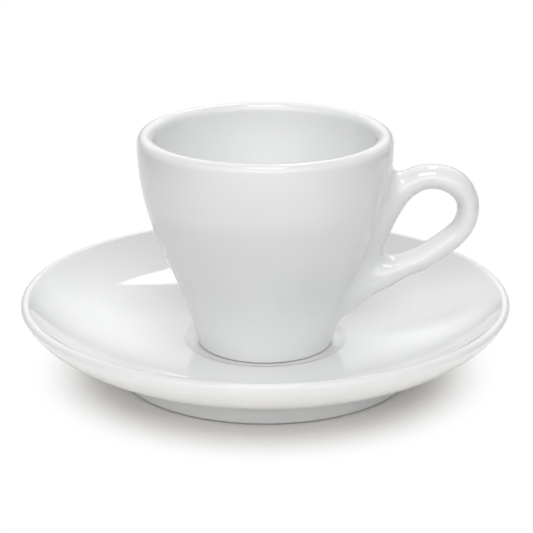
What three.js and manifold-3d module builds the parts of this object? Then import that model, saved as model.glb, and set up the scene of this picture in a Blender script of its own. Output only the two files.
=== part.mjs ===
// A small thick-walled porcelain coffee cup with an ear handle, standing loose in the well of its saucer.
// Millimetres, +Z up. The origin is the middle of the saucer's foot, and the handle points along +X.
import * as THREE from 'three';
import { mergeVertices } from 'three/addons/utils/BufferGeometryUtils.js';
import Module from 'manifold-3d';

const wasm = await Module();
wasm.setup();

// Saucer
const saucerRadius = 62;
const saucerHeight = 20.3;
const saucerLipThickness = 2.6;
const saucerFootRadius = 37.9;
const saucerFootWidth = 3.6;
const saucerFootHeight = 6.2;
const saucerFootFlare = 1.4;
const saucerFloorThickness = 4.4;
const wellFloorHeight = 7.5;
const wellDepth = 0.8;
const wellEdgeRun = 1.2;
const wellClearance = 2.8;

// Cup
const cupHeight = 55.1;
const rimRadius = 31.88;
const rimThickness = 4.1;
const waistHeight = 21.5;
const waistRadius = 24.5;
const cupFootRadius = 17.2;
const cupFootWidth = 3;
const cupFootRecess = 1.6;
const cupFloorThickness = 6.8;
const lowerWallThickness = 4.3;

// Outward run of the cup's outer wall for each millimetre of height
const footSlope = 0.26;
const waistSlope = 0.46;
const rimSlope = -0.02;

// Handle
const handleThickness = 5.8;
const handleWidth = 6.6;
const handleReach = 19;
const handleDrop = 11.6;
const tailHeight = 10;
const webThickness = 4;

// Rounded edges and the gap of a piece cut to fit its neighbour
const footEdgeRadius = 0.7;
const seatGap = 0.3;

// Bends of the curves, as shares of each curve's own run and rise
const underBends = [[0.46, 0.12], [0.9, 0.56]];
const dishBends = [[0.4, 0.08], [0.76, 0.38]];
const bowlBend = 0.5;
const bowlSpread = 0.6;

// The middle line of the handle's loop, from the wall under the rim, round and down into the lower wall.
// Each row is a share of the reach past the lower wall and of the height between tail and top.
const loopShape = [
  [0.53, 0.965],
  [0.71, 1],
  [0.91, 0.925],
  [1, 0.765],
  [0.87, 0.51],
  [0.575, 0.34],
  [0.22, 0.155],
];
const tailDip = 0.1;

// The stretch of the loop that the finger hole follows, and its points on the web, as shares of its height
const holeStart = 0.25;
const holeEnd = 0.765;
const webShares = [0.12, 0.36, 0.62];

// Share of the handle's section that each of its rounded edges takes
const edgeShare = 0.45;

// Facets
const turns = 48;
const curveSteps = 7;
const lipSteps = 6;
const edgeSteps = 2;
const roundingSteps = 4;
const holeSteps = 6;

const point = (x, y) => new THREE.Vector2(x, y);

// A wall curve of the cup, with even steps of height and a given slope at each end
function wallCurve(low, lowSlope, high, highSlope) {
  const third = (high.y - low.y) / 3;
  const lowHandle = point(low.x + lowSlope * third, low.y + third);
  const highHandle = point(high.x - highSlope * third, high.y - third);
  return new THREE.CubicBezierCurve(low, lowHandle, highHandle, high);
}

// The outer wall of the cup, in heights above its own foot
const lipRadius = rimThickness / 2;
const lipHeight = cupHeight - lipRadius;
const wallStart = point(cupFootRadius + footSlope * footEdgeRadius, 2 * footEdgeRadius);
const waist = point(waistRadius, waistHeight);
const rimEdge = point(rimRadius, lipHeight);
const lowerWall = wallCurve(wallStart, footSlope, waist, waistSlope);
const upperWall = wallCurve(waist, waistSlope, rimEdge, rimSlope);

function wallRadius(height) {
  const curve = height < waist.y ? lowerWall : upperWall;
  const share = (height - curve.v0.y) / (curve.v3.y - curve.v0.y);
  return curve.getPoint(THREE.MathUtils.clamp(share, 0, 1)).x;
}

// A curve between two points whose two bends are shares of the run and rise between them
function bentCurve(from, to, bends) {
  const size = to.clone().sub(from);
  const [first, second] = bends.map(([run, rise]) => point(from.x + run * size.x, from.y + rise * size.y));
  return new THREE.CubicBezierCurve(from, first, second, to);
}

function reversed(curve) {
  return new THREE.CubicBezierCurve(curve.v3, curve.v2, curve.v1, curve.v0);
}

function addCurve(path, curve) {
  path.bezierCurveTo(curve.v1.x, curve.v1.y, curve.v2.x, curve.v2.y, curve.v3.x, curve.v3.y);
}

// A round stretch in even steps, counter-clockwise between two angles given in half turns
function addArc(path, x, y, radius, from, to, steps) {
  for (let i = 0; i <= steps; i += 1) {
    const angle = Math.PI * THREE.MathUtils.lerp(from, to, i / steps);
    path.lineTo(x + radius * Math.cos(angle), y + radius * Math.sin(angle));
  }
}

// A flat foot ring with rounded edges, drawn outwards from the recess that it stands round
function addFoot(path, radius, width, recess) {
  const inner = radius - width;
  path.lineTo(inner, recess);
  addArc(path, inner + footEdgeRadius, footEdgeRadius, footEdgeRadius, 1, 1.5, edgeSteps);
  addArc(path, radius - footEdgeRadius, footEdgeRadius, footEdgeRadius, 1.5, 2, edgeSteps);
}

function turn(path) {
  const geometry = new THREE.LatheGeometry(path.getPoints(curveSteps), turns);
  return geometry.rotateX(Math.PI / 2);
}

function saucerProfile() {
  const lip = saucerLipThickness / 2;
  const edgeHeight = saucerHeight - lip;
  const footTop = point(saucerFootRadius + saucerFootFlare, saucerFootHeight);
  const outerEdge = point(saucerRadius, edgeHeight);
  const innerEdge = point(saucerRadius - saucerLipThickness, edgeHeight);
  const recess = wellFloorHeight - saucerFloorThickness;
  const wellRadius = cupFootRadius + wellClearance;
  const wellEdge = point(wellRadius + wellEdgeRun, wellFloorHeight + wellDepth);
  const path = new THREE.Path();
  path.moveTo(0, recess);
  addFoot(path, saucerFootRadius, saucerFootWidth, recess);
  path.lineTo(footTop.x, footTop.y);
  addCurve(path, bentCurve(footTop, outerEdge, underBends));
  addArc(path, saucerRadius - lip, edgeHeight, lip, 0, 1, lipSteps);
  addCurve(path, reversed(bentCurve(wellEdge, innerEdge, dishBends)));
  path.lineTo(wellRadius, wellFloorHeight);
  path.lineTo(0, wellFloorHeight);
  return path;
}

function cupProfile() {
  const floor = cupFootRecess + cupFloorThickness;
  const innerWaist = point(waistRadius - lowerWallThickness, waistHeight);
  const innerRim = point(rimRadius - rimThickness, lipHeight);
  const innerWall = wallCurve(innerWaist, waistSlope, innerRim, rimSlope);
  const bowlDrop = bowlBend * (innerWaist.y - floor);
  const path = new THREE.Path();
  path.moveTo(0, cupFootRecess);
  addFoot(path, cupFootRadius, cupFootWidth, cupFootRecess);
  path.lineTo(wallStart.x, wallStart.y);
  addCurve(path, lowerWall);
  addCurve(path, upperWall);
  addArc(path, rimRadius - lipRadius, lipHeight, lipRadius, 0, 1, lipSteps);
  addCurve(path, reversed(innerWall));
  path.bezierCurveTo(
    innerWaist.x - waistSlope * bowlDrop, innerWaist.y - bowlDrop,
    bowlSpread * innerWaist.x, floor,
    0, floor,
  );
  return path;
}

// The cup's wall filled to its axis and grown by the seat gap, which trims the handle to fit
function wallCutter() {
  const path = new THREE.Path();
  path.moveTo(0, 0);
  path.lineTo(wallStart.x + seatGap, 0);
  for (const curve of [lowerWall, upperWall]) {
    for (const p of curve.getPoints(2 * curveSteps)) path.lineTo(p.x + seatGap, p.y);
  }
  path.lineTo(rimRadius + seatGap, cupHeight);
  path.lineTo(0, cupHeight);
  return turn(path);
}

// The handle's two roots run on into the wall, deeper than its rounded edges reach, and the wall trims them
const handleTop = cupHeight - handleDrop;
const handleRise = handleTop - tailHeight;
const rootDepth = 1.5 * handleThickness;
const rootShares = [0.25, 0.5, 0.75];
const upperRootHeight = tailHeight + loopShape[0][1] * handleRise;

function loopLine() {
  const innermost = wallRadius(tailHeight);
  const span = rimRadius + handleReach - innermost;
  const upperRoot = point(wallRadius(upperRootHeight) - rootDepth, upperRootHeight);
  const lowerRoot = point(innermost - rootDepth, tailHeight - tailDip * handleRise);
  const middle = loopShape.map(([out, up]) => point(innermost + out * span, tailHeight + up * handleRise));
  return new THREE.SplineCurve([upperRoot, ...middle, lowerRoot]);
}

// A point beside the loop's middle line, to the outside for a positive offset
function beside(line, share, offset) {
  const along = line.getTangent(share);
  return line.getPoint(share).add(point(-along.y, along.x).multiplyScalar(offset));
}

// The handle's outer edge: the loop's outside between its two roots, closed by a line deep inside the wall
function handleOutline(line) {
  const steps = 6 * curveSteps;
  const outside = [];
  for (let i = 0; i <= steps; i += 1) outside.push(beside(line, i / steps, handleThickness / 2));
  const [first, last] = [outside[0], outside[steps]];
  const shown = outside.filter((p) => p.x > wallRadius(p.y));
  const buried = rootShares.map((share) => {
    const height = THREE.MathUtils.lerp(last.y, first.y, share);
    return point(wallRadius(height) - rootDepth, height);
  });
  return [first, ...shown, last, ...buried].reverse();
}

// The finger hole: inside the loop, and along the web that stands on the cup's wall
function holeOutline(line) {
  const corners = [];
  for (let i = 0; i <= holeSteps; i += 1) {
    const share = THREE.MathUtils.lerp(holeStart, holeEnd, i / holeSteps);
    corners.push(beside(line, share, -handleThickness / 2));
  }
  const low = corners.at(-1).y;
  const high = corners[0].y;
  for (const share of webShares) {
    const height = THREE.MathUtils.lerp(low, high, share);
    corners.push(point(wallRadius(height) + webThickness, height));
  }
  const closed = new THREE.CatmullRomCurve3(corners.map((p) => new THREE.Vector3(p.x, p.y, 0)), true);
  return closed.getPoints(5 * curveSteps).slice(1).map((p) => point(p.x, p.y));
}

function handleBlank() {
  const line = loopLine();
  const shape = new THREE.Shape(handleOutline(line));
  shape.holes.push(new THREE.Path(holeOutline(line)));
  const edgeRound = edgeShare * handleThickness;
  const edgeDepth = edgeShare * handleWidth;
  const flat = handleWidth - 2 * edgeDepth;
  const geometry = new THREE.ExtrudeGeometry(shape, {
    depth: flat,
    bevelThickness: edgeDepth,
    bevelSize: edgeRound,
    bevelOffset: -edgeRound,
    bevelSegments: roundingSteps,
  });
  return geometry.translate(0, 0, -flat / 2).rotateX(Math.PI / 2);
}

function asSolid(geometry) {
  const bare = geometry.clone();
  bare.deleteAttribute('normal');
  bare.deleteAttribute('uv');
  const merged = mergeVertices(bare);
  const corners = merged.index.array;
  const whole = [];
  for (let i = 0; i < corners.length; i += 3) {
    const [a, b, c] = corners.slice(i, i + 3);
    if (a !== b && b !== c && c !== a) whole.push(a, b, c);
  }
  const triVerts = Uint32Array.from(whole);
  const vertProperties = Float32Array.from(merged.attributes.position.array);
  return new wasm.Manifold(new wasm.Mesh({ numProp: 3, vertProperties, triVerts }));
}

function asGeometry(solid) {
  const mesh = solid.getMesh();
  const geometry = new THREE.BufferGeometry();
  geometry.setAttribute('position', new THREE.BufferAttribute(mesh.vertProperties, 3));
  geometry.setIndex(new THREE.BufferAttribute(mesh.triVerts, 1));
  geometry.computeVertexNormals();
  return geometry;
}

function handleGeometry() {
  return asGeometry(asSolid(handleBlank()).subtract(asSolid(wallCutter())));
}

function porcelain(colour) {
  return new THREE.MeshStandardMaterial({ color: colour, roughness: 0.12, metalness: 0 });
}

function piece(name, geometry, colour) {
  const mesh = new THREE.Mesh(geometry, porcelain(colour));
  mesh.name = name;
  return mesh;
}

const cup = new THREE.Group();
cup.position.z = wellFloorHeight;
cup.add(piece('cup_bowl', turn(cupProfile()), 0xf1f2f3));
cup.add(piece('cup_handle', handleGeometry(), 0xf1f2f3));

const cupWithSaucer = new THREE.Group();
cupWithSaucer.add(piece('saucer', turn(saucerProfile()), 0xeff0f1));
cupWithSaucer.add(cup);

export default cupWithSaucer;
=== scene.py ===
# A white porcelain coffee cup with an ear handle, standing in the well of its saucer.
# Metres, +Z up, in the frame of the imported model. The handle points along +X.
import math

import bpy
import numpy as np
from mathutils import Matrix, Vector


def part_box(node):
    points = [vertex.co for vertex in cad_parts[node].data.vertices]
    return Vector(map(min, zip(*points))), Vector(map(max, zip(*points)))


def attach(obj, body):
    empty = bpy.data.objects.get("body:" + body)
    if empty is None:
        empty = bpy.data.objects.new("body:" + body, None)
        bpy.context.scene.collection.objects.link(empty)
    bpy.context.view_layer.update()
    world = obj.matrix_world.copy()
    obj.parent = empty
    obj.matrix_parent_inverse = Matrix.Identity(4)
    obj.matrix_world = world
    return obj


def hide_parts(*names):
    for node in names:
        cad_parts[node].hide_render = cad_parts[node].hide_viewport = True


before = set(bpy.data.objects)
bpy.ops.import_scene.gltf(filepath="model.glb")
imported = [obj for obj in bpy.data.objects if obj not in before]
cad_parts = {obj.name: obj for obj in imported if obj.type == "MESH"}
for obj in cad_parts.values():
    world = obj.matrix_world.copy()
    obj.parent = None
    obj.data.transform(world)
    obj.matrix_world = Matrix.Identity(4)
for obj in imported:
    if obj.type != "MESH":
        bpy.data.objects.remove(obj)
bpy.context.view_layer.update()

import openvdb
from mathutils import Vector

MM = 0.001

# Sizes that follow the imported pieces
_, saucer_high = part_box("saucer")
cup_low, cup_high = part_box("cup_bowl")
SAUCER_RADIUS = saucer_high.x
SAUCER_HEIGHT = saucer_high.z
WELL_FLOOR = cup_low.z
CUP_TOP = cup_high.z

# Saucer; the lip's turn is how far it rolls from its outer edge over to the dish, in half turns
SAUCER_LIP_THICKNESS = 2.6 * MM
LIP_TURN = 0.69
SAUCER_FOOT_RADIUS = 37.9 * MM
SAUCER_FOOT_WIDTH = 3.6 * MM
SAUCER_FOOT_HEIGHT = 6.2 * MM
SAUCER_FOOT_FLARE = 1.4 * MM
SAUCER_FOOT_EDGE = 0.9 * MM
SAUCER_FLOOR_THICKNESS = 4.4 * MM
WELL_RADIUS = 17.4 * MM
WELL_DEPTH = 0.65 * MM
WELL_EDGE_RUN = 3.35 * MM

# Cup
RIM_RADIUS = 31.88 * MM
RIM_THICKNESS = 4.1 * MM
WAIST_HEIGHT = 21.5 * MM
WAIST_RADIUS = 24.5 * MM
CUP_FOOT_RADIUS = 17.2 * MM
CUP_FOOT_WIDTH = 3.0 * MM
CUP_FOOT_RECESS = 1.6 * MM
CUP_FOOT_EDGE = 0.45 * MM
CUP_FLOOR_THICKNESS = 6.8 * MM
LOWER_WALL_THICKNESS = 4.3 * MM

# Outward run of the cup's outer wall for each unit of height
FOOT_SLOPE = 0.26
WAIST_SLOPE = 0.46
RIM_SLOPE = -0.02

# Bends of the profile curves, as shares of each curve's own run and rise
UNDER_BENDS = ((0.46, 0.12), (0.9, 0.56))
DISH_BENDS = ((0.4, 0.07), (0.78, 0.33))
WELL_BENDS = ((0.2, 0.4), (0.5, 1))
BOWL_BEND = 0.5
BOWL_SPREAD = 0.6

# The middle line of the handle's loop, from inside the wall under the rim round to the lower wall:
# distance from the axis, height above the table and half the thickness there
LOOP_STATIONS = np.array([
    (25.8, 39.8, 4.2),
    (34.1, 48.1, 3.4),
    (40.8, 51.0, 3.0),
    (47.4, 49.4, 3.1),
    (50.8, 44.2, 2.8),
    (49.2, 37.3, 2.75),
    (41.2, 30.65, 2.9),
    (35.0, 27.7, 3.05),
    (30.6, 26.1, 3.85),
    (25.1, 22.9, 3.6),
    (23.5, 22.1, 3.45),
]) * MM
LOOP_WIDTH_RATIO = 1.5

# The web that runs down the wall inside the loop
WEB_TOP = 45.8 * MM
WEB_LOW = 18.3 * MM
WEB_STAND_OFF = 0.35 * MM
WEB_RADIUS = 2.95 * MM
WEB_POINTS = 40

# Radii of the soft joins that slip and glaze leave, and how far a join may run along the wall
WEB_BLEND = 4.0 * MM
WALL_BLEND = 4.3 * MM
WALL_JOIN_REACH = 1.3 * WALL_BLEND
HANDLE_SINK = 0.01 * MM
HANDLE_BURIED = 1.0 * MM

# Softness of every glazed edge, how many times that its rounding reaches, and the fineness of the meshes
GLAZE_SOFTNESS = 0.28 * MM
SOFTNESS_REACH = 4
PROFILE_STEP = 0.1 * MM
LONGEST_STEP = 2.0 * MM
SHARPEST_TURN = math.radians(4)
TURNS = 192

# The box of cells that the handle is meshed in, and the last moves of its points onto the surface
HANDLE_CELL = 0.4 * MM
HANDLE_BOX_LOW = np.array([14.0, -10.0, 8.0]) * MM
HANDLE_BOX_HIGH = np.array([56.0, 10.0, 58.0]) * MM
SETTLE_ROUNDS = 3
SETTLE_STEP = 0.02 * MM
LEAST_SQUARED_GRADIENT = 0.25


# Curves

def bezier(start, first, second, end, steps=60):
    """A cubic curve between two ends, drawn by its two bends."""
    t = np.linspace(0, 1, steps + 1)[:, None]
    u = 1 - t
    ends = u**3 * np.array(start) + t**3 * np.array(end)
    return ends + 3 * u * u * t * np.array(first) + 3 * u * t * t * np.array(second)


def wall_curve(low, low_slope, high, high_slope):
    """A wall curve of the cup with even steps of height and a given slope at each end."""
    third = (high[1] - low[1]) / 3
    first = (low[0] + low_slope * third, low[1] + third)
    second = (high[0] - high_slope * third, high[1] - third)
    return bezier(low, first, second, high)


def bent_curve(start, end, bends):
    """A curve whose two bends are shares of the run and rise between its ends."""
    size = np.subtract(end, start)
    first, second = (np.add(start, np.multiply(bend, size)) for bend in bends)
    return bezier(start, first, second, end)


def arc(centre, radius, start, end, steps=16):
    """A round stretch between two angles given in half turns."""
    angle = math.pi * np.linspace(start, end, steps + 1)
    return np.column_stack([np.cos(angle), np.sin(angle)]) * radius + np.array(centre)


def foot(radius, width, height, bottom, edge):
    """A flat foot ring with rounded edges, drawn outwards from the recess that it stands round."""
    inner = radius - width
    level = bottom + edge
    return np.vstack([
        (inner, bottom + height),
        arc((inner + edge, level), edge, 1, 1.5),
        arc((radius - edge, level), edge, 1.5, 2),
    ])


def even_steps(line, step):
    """The same line with its points about one step apart."""
    lengths = np.r_[0, np.cumsum(np.linalg.norm(np.diff(line, axis=0), axis=1))]
    at = np.linspace(0, lengths[-1], round(lengths[-1] / step) + 1)
    return np.column_stack([np.interp(at, lengths, column) for column in line.T])


def soften(profile, softness):
    """Rounds every corner of a profile that starts and ends on the axis, as glaze does."""
    line = even_steps(profile, PROFILE_STEP)
    reach = math.ceil(SOFTNESS_REACH * softness / PROFILE_STEP)
    kernel = np.exp(-0.5 * (np.arange(-reach, reach + 1) * PROFILE_STEP / softness) ** 2)
    kernel /= kernel.sum()
    mirror = np.array([-1, 1])
    padded = np.vstack([line[reach:0:-1] * mirror, line, line[-2:-reach - 2:-1] * mirror])
    soft = np.column_stack([np.convolve(column, kernel, "valid") for column in padded.T])
    soft[[0, -1], 0] = 0
    return soft


def thin_out(line):
    """Keeps the points that a smooth surface needs: close where it turns, far apart elsewhere."""
    run = np.diff(line, axis=0)
    length = np.linalg.norm(run, axis=1)
    heading = np.unwrap(np.arctan2(run[:, 1], run[:, 0]))
    turn = np.abs(np.diff(heading, prepend=heading[0]))
    cost = np.r_[0, np.cumsum(length / LONGEST_STEP + turn / SHARPEST_TURN)]
    at = np.linspace(0, cost[-1], math.ceil(cost[-1]) + 1)
    return np.column_stack([np.interp(at, cost, column) for column in line.T])


# Meshes

def add_mesh(name, points, faces):
    """A smooth-shaded object of its own from points and faces."""
    mesh = bpy.data.meshes.new(name)
    mesh.from_pydata(points, [], faces)
    mesh.shade_smooth()
    piece = bpy.data.objects.new(name, mesh)
    bpy.context.scene.collection.objects.link(piece)
    return piece


def turned(name, profile):
    """A solid turned about the Z axis from a profile that starts and ends on it."""
    line = thin_out(soften(profile, GLAZE_SOFTNESS))
    rings = line[1:-1]
    angle = 2 * math.pi * np.arange(TURNS) / TURNS
    around = np.column_stack([np.cos(angle), np.sin(angle)])
    points = [(0, 0, line[0, 1])]
    for radius, height in rings:
        points += [(radius * x, radius * y, height) for x, y in around]
    points.append((0, 0, line[-1, 1]))
    last = len(points) - 1
    faces = []
    for turn in range(TURNS):
        ahead = (turn + 1) % TURNS
        faces.append((0, 1 + ahead, 1 + turn))
        for ring in range(len(rings) - 1):
            low = 1 + ring * TURNS
            high = low + TURNS
            faces.append((low + turn, low + ahead, high + ahead, high + turn))
        top = 1 + (len(rings) - 1) * TURNS
        faces.append((top + turn, top + ahead, last))
    return add_mesh(name, points, faces)


# The cup's outer wall

WALL_START = (CUP_FOOT_RADIUS + FOOT_SLOPE * CUP_FOOT_EDGE, WELL_FLOOR + 2 * CUP_FOOT_EDGE)
WAIST = (WAIST_RADIUS, WELL_FLOOR + WAIST_HEIGHT)
LIP_RADIUS = RIM_THICKNESS / 2
RIM_EDGE = (RIM_RADIUS, CUP_TOP - LIP_RADIUS)
outer_wall = np.vstack([
    wall_curve(WALL_START, FOOT_SLOPE, WAIST, WAIST_SLOPE),
    wall_curve(WAIST, WAIST_SLOPE, RIM_EDGE, RIM_SLOPE)[1:],
])


def wall_radius(height):
    """How far the cup's outer wall is from the axis at a height."""
    return np.interp(height, outer_wall[:, 1], outer_wall[:, 0])


# Saucer

def saucer_profile():
    """Recess, foot ring, underside, rolled lip, dish and well, from the axis out and back."""
    lip = SAUCER_LIP_THICKNESS / 2
    edge_height = SAUCER_HEIGHT - lip
    recess = WELL_FLOOR - SAUCER_FLOOR_THICKNESS
    foot_top = (SAUCER_FOOT_RADIUS + SAUCER_FOOT_FLARE, SAUCER_FOOT_HEIGHT)
    outer_edge = (SAUCER_RADIUS, edge_height)
    rolled_lip = arc((SAUCER_RADIUS - lip, edge_height), lip, 0, LIP_TURN)
    well_edge = (WELL_RADIUS + WELL_EDGE_RUN, WELL_FLOOR + WELL_DEPTH)
    well_slope = bent_curve(well_edge, (WELL_RADIUS, WELL_FLOOR), WELL_BENDS)
    return np.vstack([
        (0, recess),
        foot(SAUCER_FOOT_RADIUS, SAUCER_FOOT_WIDTH, recess, 0, SAUCER_FOOT_EDGE),
        bent_curve(foot_top, outer_edge, UNDER_BENDS),
        rolled_lip,
        bent_curve(well_edge, rolled_lip[-1], DISH_BENDS)[::-1],
        well_slope,
        (0, WELL_FLOOR),
    ])


# Cup bowl

def cup_profile():
    """Recess, foot ring, outer wall, rounded rim and inside, from the axis out and back."""
    floor = WELL_FLOOR + CUP_FOOT_RECESS + CUP_FLOOR_THICKNESS
    inner_waist = (WAIST_RADIUS - LOWER_WALL_THICKNESS, WAIST[1])
    inner_rim = (RIM_RADIUS - RIM_THICKNESS, RIM_EDGE[1])
    drop = BOWL_BEND * (inner_waist[1] - floor)
    low_bend = (inner_waist[0] - WAIST_SLOPE * drop, inner_waist[1] - drop)
    floor_bend = (BOWL_SPREAD * inner_waist[0], floor)
    return np.vstack([
        (0, WELL_FLOOR + CUP_FOOT_RECESS),
        foot(CUP_FOOT_RADIUS, CUP_FOOT_WIDTH, CUP_FOOT_RECESS, WELL_FLOOR, CUP_FOOT_EDGE),
        outer_wall,
        arc((RIM_RADIUS - LIP_RADIUS, RIM_EDGE[1]), LIP_RADIUS, 0, 1),
        wall_curve(inner_waist, WAIST_SLOPE, inner_rim, RIM_SLOPE)[::-1],
        bezier(inner_waist, low_bend, floor_bend, (0, floor)),
    ])


# Handle

def smooth_line(stations, steps=16):
    """A curve through every station, with its values between them."""
    ends = np.vstack([2 * stations[0] - stations[1], stations, 2 * stations[-1] - stations[-2]])
    t = np.linspace(0, 1, steps, endpoint=False)[:, None]
    parts = []
    for before, start, end, after in zip(ends, ends[1:], ends[2:], ends[3:]):
        rise = (end - before) * t
        bend = (2 * before - 5 * start + 4 * end - after) * t**2
        twist = (3 * start - before - 3 * end + after) * t**3
        parts.append(start + (rise + bend + twist) / 2)
    return np.vstack([*parts, stations[-1]])


def distance_to(line, x, z):
    """Distance of each point from a line in the handle's plane, and where the line is nearest."""
    start = line[:-1, :2]
    run = np.diff(line[:, :2], axis=0)
    nearest = np.full(x.shape, np.inf)
    place = np.zeros(x.shape)
    for i, ((x0, z0), (dx, dz)) in enumerate(zip(start, run)):
        share = np.clip(((x - x0) * dx + (z - z0) * dz) / (dx * dx + dz * dz), 0, 1)
        away = np.hypot(x - x0 - share * dx, z - z0 - share * dz)
        closer = away < nearest
        nearest = np.where(closer, away, nearest)
        place = np.where(closer, i + share, place)
    return nearest, place


def blended(first, second, radius):
    """Two fields joined with a soft hollow of about that radius."""
    near = np.maximum(radius - np.abs(first - second), 0) / radius
    return np.minimum(first, second) - near * near * radius / 4


loop_line = smooth_line(LOOP_STATIONS)
web_heights = np.linspace(WEB_TOP, WEB_LOW, WEB_POINTS)
web_line = np.column_stack([wall_radius(web_heights) + WEB_STAND_OFF, web_heights])


def flat_fields(x, z):
    """In the handle's own plane: distance from the loop, its half thickness, distance from the web."""
    loop, place = distance_to(loop_line, x, z)
    half = np.interp(place, np.arange(len(loop_line)), loop_line[:, 2])
    web, _ = distance_to(web_line, x, z)
    return loop, half, web


def handle_field(x, y, z, flat):
    """Negative inside the handle: loop and web joined to each other and, softly, to the cup's wall."""
    loop, half, web = flat
    side = y / LOOP_WIDTH_RATIO
    arms = blended(np.hypot(loop, side) - half, np.hypot(web, side) - WEB_RADIUS, WEB_BLEND)
    slope = (wall_radius(z + MM / 2) - wall_radius(z - MM / 2)) / MM
    wall = (np.hypot(x, y) - wall_radius(z)) / np.hypot(1, slope)
    joined = blended(arms, wall + HANDLE_SINK, WALL_BLEND)
    return np.maximum(np.maximum(joined, -wall - HANDLE_BURIED), arms - WALL_JOIN_REACH)


def field_at(points):
    """The handle's field at loose points."""
    x, y, z = points.T
    return handle_field(x, y, z, flat_fields(x, z))


def settle(points):
    """Moves mesh points onto the field's surface along its gradient."""
    offsets = SETTLE_STEP * np.eye(3)
    for _ in range(SETTLE_ROUNDS):
        value = field_at(points)
        sides = [field_at(points + offset) - field_at(points - offset) for offset in offsets]
        gradient = np.column_stack(sides) / (2 * SETTLE_STEP)
        scale = np.maximum((gradient**2).sum(axis=1), LEAST_SQUARED_GRADIENT)
        points = points - gradient * np.clip(value / scale, -HANDLE_CELL, HANDLE_CELL)[:, None]
    return points


def make_handle():
    """The handle's mesh, where its field is zero."""
    low = HANDLE_BOX_LOW
    counts = np.ceil((HANDLE_BOX_HIGH - low) / HANDLE_CELL).astype(int) + 1
    x, y, z = (start + HANDLE_CELL * np.arange(count) for start, count in zip(low, counts))
    flat = flat_fields(*np.meshgrid(x, z, indexing="ij"))
    flat = [values[:, None, :] for values in flat]
    values = handle_field(x[:, None, None], y[None, :, None], z[None, None, :], flat)
    grid = openvdb.FloatGrid(1.0)
    grid.copyFromArray((values / HANDLE_CELL).astype(np.float32))
    points, quads = grid.convertToQuads(isovalue=0)
    points = settle(low + HANDLE_CELL * points.astype(float))
    return add_mesh("cup_handle_glazed", points.tolist(), quads.tolist())


# Shader nodes

def add_node(tree, kind, inputs=None, **settings):
    """A shader node; an input is either a plain value or the output of another node."""
    node = tree.nodes.new(kind)
    for name, value in settings.items():
        setattr(node, name, value)
    for name, value in (inputs or {}).items():
        if isinstance(value, bpy.types.NodeSocket):
            tree.links.new(value, node.inputs[name])
        else:
            node.inputs[name].default_value = value
    return node


def calculate(tree, operation, *values):
    """One step of arithmetic on plain values or the outputs of other nodes."""
    return add_node(tree, "ShaderNodeMath", dict(enumerate(values)), operation=operation).outputs["Value"]


def split(tree, vector):
    """The X, Y and Z outputs of a vector."""
    return add_node(tree, "ShaderNodeSeparateXYZ", {"Vector": vector}).outputs


def noise(tree, place, scale, detail=2.0):
    """Soft noise from 0 to 1, with a scale in waves per metre."""
    inputs = {"Vector": place, "Scale": scale, "Detail": detail}
    return add_node(tree, "ShaderNodeTexNoise", inputs).outputs["Fac"]


def blend_between(tree, value, low, high, start=0.0, end=1.0):
    """Runs smoothly from start to end while the value goes from low to high."""
    limits = {"Value": value, "From Min": low, "From Max": high, "To Min": start, "To Max": end}
    return add_node(tree, "ShaderNodeMapRange", limits, interpolation_type="SMOOTHSTEP").outputs["Result"]


def mixed_colour(tree, share, first, second):
    """A colour between two others; each is a plain colour or the output of another node."""
    mix = add_node(tree, "ShaderNodeMix", data_type="RGBA")
    tree.links.new(share, mix.inputs["Factor"])
    for socket, colour in (("A_Color", first), ("B_Color", second)):
        target = next(each for each in mix.inputs if each.identifier == socket)
        if isinstance(colour, bpy.types.NodeSocket):
            tree.links.new(colour, target)
        else:
            target.default_value = (*colour, 1)
    return next(each for each in mix.outputs if each.identifier == "Result_Color")


def new_material(name):
    """A material with its node tree, its main shader and the place on the object."""
    material = bpy.data.materials.new(name)
    material.use_nodes = True
    tree = material.node_tree
    place = add_node(tree, "ShaderNodeTexCoord").outputs["Object"]
    return material, tree, tree.nodes["Principled BSDF"], place


# Porcelain

GLAZE_THIN = (0.815, 0.819, 0.82)
GLAZE_THICK = (0.79, 0.797, 0.80)
PAINTED_HOLLOW_SHADE = (0.30, 0.30, 0.28)
BARE_CLAY = (0.74, 0.70, 0.64)
GLAZE_IOR = 1.52
GLAZE_ROUGHNESS = (0.03, 0.075)
CLAY_ROUGHNESS = 0.7

# Where the noise turns from one state of the glaze to the other, and its waves per metre
DRIFT_SCALE = 45.0
DRIFT_TURN = (0.35, 0.65)
GLOSS_SCALE = 130.0
GLOSS_TURN = (0.3, 0.7)

# Painted shade darkens the colour where the surface is open by this share or less, seen over this distance
SHADE_REACH = 1.5 * MM
SHADE_OPENNESS = 0.36
SHADE_SAMPLES = 8

# The bare band at the bottom of a foot ring
BARE_HEIGHT = 0.25 * MM
BARE_EDGE = 0.1 * MM
BARE_UNEVENNESS = 0.4 * MM
BARE_EDGE_SCALE = 160.0

# The unevenness of the glaze's surface
WAVE_SCALE = 110.0
WAVE_HEIGHT = 0.03 * MM
PEEL_SCALE = 1500.0
PEEL_HEIGHT = 0.0012 * MM


def glaze_colour(tree, place):
    """The white of the glaze, which drifts slowly with its thickness."""
    thickness = blend_between(tree, noise(tree, place, DRIFT_SCALE), *DRIFT_TURN)
    return mixed_colour(tree, thickness, GLAZE_THIN, GLAZE_THICK)


def bare_share(tree, place, foot_height):
    """One on the bare clay at the bottom of the foot, with an uneven edge to the glaze."""
    edge = noise(tree, place, BARE_EDGE_SCALE)
    uneven = calculate(tree, "MULTIPLY_ADD", edge, BARE_UNEVENNESS, split(tree, place)["Z"])
    bare_top = foot_height + BARE_HEIGHT
    return blend_between(tree, uneven, bare_top + BARE_EDGE, bare_top - BARE_EDGE)


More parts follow.
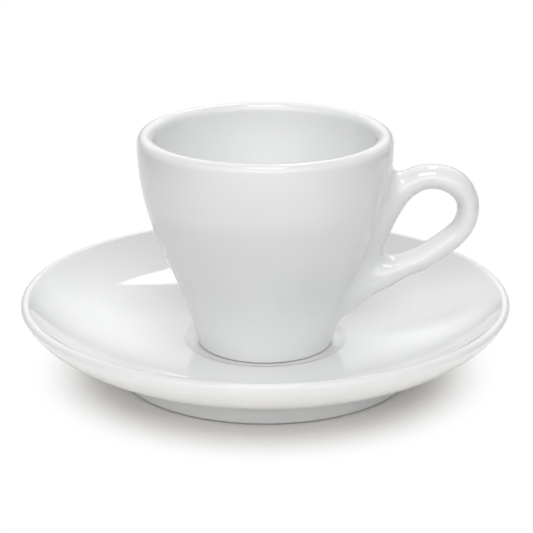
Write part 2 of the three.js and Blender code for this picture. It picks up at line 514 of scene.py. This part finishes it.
def painted_shade_share(tree):
    """One in the narrowest hollows and crevices, where shade is painted into the colour."""
    inputs = {"Distance": SHADE_REACH}
    openness = add_node(tree, "ShaderNodeAmbientOcclusion", inputs, samples=SHADE_SAMPLES).outputs["AO"]
    return blend_between(tree, openness, SHADE_OPENNESS, 0.0)


def glaze_roughness(tree, place, bare):
    """Gloss that changes a little from place to place, and dull clay."""
    breath = noise(tree, place, GLOSS_SCALE, detail=3.0)
    gloss = blend_between(tree, breath, *GLOSS_TURN, *GLAZE_ROUGHNESS)
    mix = add_node(tree, "ShaderNodeMix", {"Factor": bare, "A": gloss, "B": CLAY_ROUGHNESS})
    return mix.outputs["Result"]


def glaze_bumps(tree, place):
    """The glaze's slow waviness and its fine orange peel."""
    wave = noise(tree, place, WAVE_SCALE, detail=1.0)
    waved = add_node(tree, "ShaderNodeBump", {"Height": wave, "Strength": 1.0, "Distance": WAVE_HEIGHT})
    peel = {"Height": noise(tree, place, PEEL_SCALE), "Strength": 1.0, "Distance": PEEL_HEIGHT}
    peel["Normal"] = waved.outputs["Normal"]
    return add_node(tree, "ShaderNodeBump", peel).outputs["Normal"]


def porcelain(name, foot_height):
    """White porcelain under a clear gloss glaze, bare where the foot ring stands."""
    material, tree, shader, place = new_material(name)
    bare = bare_share(tree, place, foot_height)
    surface = mixed_colour(tree, bare, glaze_colour(tree, place), BARE_CLAY)
    # Painted shade: the colour turns dark grey in the narrowest hollows and crevices, such as where a foot
    # stands
    colour = mixed_colour(tree, painted_shade_share(tree), surface, PAINTED_HOLLOW_SHADE)
    tree.links.new(colour, shader.inputs["Base Color"])
    tree.links.new(glaze_roughness(tree, place, bare), shader.inputs["Roughness"])
    tree.links.new(glaze_bumps(tree, place), shader.inputs["Normal"])
    shader.inputs["IOR"].default_value = GLAZE_IOR
    return material


# Pieces

saucer = turned("saucer_glazed", saucer_profile())
saucer.data.materials.append(porcelain("saucer_glaze", 0))
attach(saucer, "saucer")
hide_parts("saucer")

cup_glaze = porcelain("cup_glaze", WELL_FLOOR)
bowl = turned("cup_bowl_glazed", cup_profile())
handle = make_handle()
for piece, node in ((bowl, "cup_bowl"), (handle, "cup_handle")):
    piece.data.materials.append(cup_glaze)
    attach(piece, "cup")
    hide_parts(node)


# Floor

WHITE = (1, 1, 1, 1)
FLOOR_SIZE = 6.0
FLOOR_DROP = 0.05 * MM
TABLE_WHITE = (0.9, 0.882, 0.862)
TABLE_ROUGHNESS = 0.3
SIDE_CLOTH = (0.12, 0.12, 0.12)

# Distances between which the table changes: to plain white for the camera and in reflections, to cloth
# at both sides, and into and out of a ring of painted light where the table glows, which is there only in
# front of the object
SHADOW_FADE = (0.040, 0.061)
MIRROR_FADE = (0.25, 0.6)
SIDE_FADE = (0.12, 0.25)
GLOW_RISE = (0.05, 0.07)
GLOW_FALL = (0.12, 0.10)
GLOW_FRONT = (0.02, -0.02)
PAINTED_GLOW_STRENGTH = 0.25


def painted_table_glow(tree, away, forward):
    """Painted light: a ring of the table in front of the object glows, though it is no lamp."""
    rise = blend_between(tree, away, *GLOW_RISE)
    fall = blend_between(tree, away, *GLOW_FALL)
    front = blend_between(tree, forward, *GLOW_FRONT, 0.0, PAINTED_GLOW_STRENGTH)
    return calculate(tree, "MULTIPLY", calculate(tree, "MULTIPLY", rise, fall), front)


def plain_white_share(tree, away):
    """One where the table is plain white: past the shadow to the camera, far out in reflections."""
    ray = add_node(tree, "ShaderNodeLightPath").outputs
    seen = calculate(tree, "MULTIPLY", ray["Is Camera Ray"], blend_between(tree, away, *SHADOW_FADE))
    mirrored = calculate(tree, "MAXIMUM", ray["Is Glossy Ray"], ray["Is Transmission Ray"])
    far = calculate(tree, "MULTIPLY", mirrored, blend_between(tree, away, *MIRROR_FADE))
    return calculate(tree, "MAXIMUM", seen, far)


def floor_material():
    """A white table that keeps the shadow near the object and is plain white further out."""
    material, tree, shader, place = new_material("floor_white")
    away = add_node(tree, "ShaderNodeVectorMath", {0: place}, operation="LENGTH").outputs["Value"]
    axes = split(tree, place)
    side = blend_between(tree, calculate(tree, "ABSOLUTE", axes["X"]), *SIDE_FADE)
    tree.links.new(mixed_colour(tree, side, TABLE_WHITE, SIDE_CLOTH), shader.inputs["Base Color"])
    # Painted light: the table glows in a ring in front of the object
    tree.links.new(painted_table_glow(tree, away, axes["Y"]), shader.inputs["Emission Strength"])
    shader.inputs["Emission Color"].default_value = WHITE
    shader.inputs["Roughness"].default_value = TABLE_ROUGHNESS
    white = add_node(tree, "ShaderNodeEmission", {"Color": WHITE, "Strength": 1.0})
    shares = {"Fac": plain_white_share(tree, away), 1: shader.outputs["BSDF"], 2: white.outputs["Emission"]}
    mix = add_node(tree, "ShaderNodeMixShader", shares)
    tree.links.new(mix.outputs["Shader"], tree.nodes["Material Output"].inputs["Surface"])
    return material


def make_floor():
    """The table top, just under the foot ring."""
    half = FLOOR_SIZE / 2
    corners = [(-half, -half), (half, -half), (half, half), (-half, half)]
    floor = add_mesh("floor", [(x, y, -FLOOR_DROP) for x, y in corners], [(0, 1, 2, 3)])
    floor.data.materials.append(floor_material())


# Light

# Brightness of the studio's walls, as pairs of degrees above the table and share of WALL_STRENGTH
WALL_STRENGTH = 4.0
FRONT_WALL = ((0, 0.0), (12, 0.03), (24, 0.92), (36, 0.64), (48, 0.4), (60, 0.22), (75, 0.0))
BACK_WALL = ((0, 0.04), (25, 0.43), (50, 0.24), (75, 0.0))
LEFT_WALL = ((0, 0.05), (25, 0.13), (50, 0.0))
RIGHT_WALL = ((0, 0.0), (25, 0.08), (50, 0.085), (75, 0.0))
STRAIGHT_UP = 90

# The lamps; radiance is how bright the face of one is
TOP_LAMP = {
    "place": (0, -0.2, 1.06),
    "target": (0, -0.2, 0),
    "width": 0.372,
    "height": 0.4,
    "radiance": 6.6,
}
BACK_LAMP = {
    "place": (0.172, 1.0, 1.36),
    "target": (0.172, 0, 1.36),
    "width": 0.176,
    "height": 0.98,
    "radiance": 4.2,
}


def wall_light(tree, height, wall):
    """Brightness of one wall by height, which runs from 0 at the table to 1 straight up."""
    ramp = add_node(tree, "ShaderNodeValToRGB", {"Fac": height})
    stops = ramp.color_ramp.elements
    while len(stops) < len(wall):
        stops.new(1)
    for stop, (angle, level) in zip(stops, wall):
        stop.position = angle / STRAIGHT_UP
        stop.color = (level, level, level, 1)
    return ramp.outputs["Color"]


def level_direction(tree, way):
    """The X and Y of a direction turned level and made one unit long."""
    level = add_node(tree, "ShaderNodeVectorMath", {0: way, 1: (1, 1, 0)}, operation="MULTIPLY")
    unit = add_node(tree, "ShaderNodeVectorMath", {0: level.outputs["Vector"]}, operation="NORMALIZE")
    axes = split(tree, unit.outputs["Vector"])
    return axes["X"], axes["Y"]


def room_light(tree):
    """Brightness all round: front and back walls, which blend into the walls at both sides."""
    way = add_node(tree, "ShaderNodeTexCoord").outputs["Generated"]
    angle = calculate(tree, "ARCSINE", split(tree, way)["Z"])
    height = calculate(tree, "MULTIPLY", angle, 2 / math.pi)
    front, back, left, right = (
        wall_light(tree, height, wall) for wall in (FRONT_WALL, BACK_WALL, LEFT_WALL, RIGHT_WALL))
    x, y = level_direction(tree, way)
    ends = mixed_colour(tree, calculate(tree, "GREATER_THAN", y, 0.0), front, back)
    sides = mixed_colour(tree, calculate(tree, "GREATER_THAN", x, 0.0), left, right)
    return mixed_colour(tree, calculate(tree, "MULTIPLY", x, x), ends, sides)


def make_world():
    """A white studio, bright in front and behind and dark at both sides; plain white to the camera."""
    world = bpy.data.worlds.new("studio")
    bpy.context.scene.world = world
    world.use_nodes = True
    tree = world.node_tree
    walls = tree.nodes["Background"]
    walls.inputs["Strength"].default_value = WALL_STRENGTH
    tree.links.new(room_light(tree), walls.inputs["Color"])
    white = add_node(tree, "ShaderNodeBackground", {"Color": WHITE, "Strength": 1.0})
    camera_ray = add_node(tree, "ShaderNodeLightPath").outputs["Is Camera Ray"]
    shares = {"Fac": camera_ray, 1: walls.outputs["Background"], 2: white.outputs["Background"]}
    mix = add_node(tree, "ShaderNodeMixShader", shares)
    tree.links.new(mix.outputs["Shader"], tree.nodes["World Output"].inputs["Surface"])


def add_softbox(name, place, target, width, height, radiance):
    """A rectangular lamp whose face is as bright as a wall of that radiance."""
    lamp = bpy.data.lights.new(name, "AREA")
    lamp.shape = "RECTANGLE"
    lamp.size = width
    lamp.size_y = height
    lamp.energy = math.pi * width * height * radiance
    softbox = bpy.data.objects.new(name, lamp)
    softbox.location = place
    softbox.rotation_euler = (Vector(target) - Vector(place)).to_track_quat("-Z", "Y").to_euler()
    bpy.context.scene.collection.objects.link(softbox)


# Camera

CAMERA_DISTANCE = 0.483
CAMERA_ELEVATION = math.radians(18.99)
CAMERA_TARGET = Vector((0.0003, 0, 0.0272))
CAMERA_LENS = 128.53
CAMERA_NEAR = 0.01
SENSOR_WIDTH = 36


def make_camera():
    """The camera straight in front of the cup, looking down into it a little."""
    lens = bpy.data.cameras.new("camera")
    lens.lens = CAMERA_LENS
    lens.sensor_width = SENSOR_WIDTH
    lens.clip_start = CAMERA_NEAR
    camera = bpy.data.objects.new("camera", lens)
    back = Vector((0, -math.cos(CAMERA_ELEVATION), math.sin(CAMERA_ELEVATION)))
    camera.location = CAMERA_TARGET + CAMERA_DISTANCE * back
    camera.rotation_euler = (-back).to_track_quat("-Z", "Y").to_euler()
    bpy.context.scene.collection.objects.link(camera)
    bpy.context.scene.camera = camera


make_floor()
make_world()
add_softbox("lamp_top", **TOP_LAMP)
add_softbox("lamp_back", **BACK_LAMP)
make_camera()
bpy.context.scene.view_settings.view_transform = "Standard"
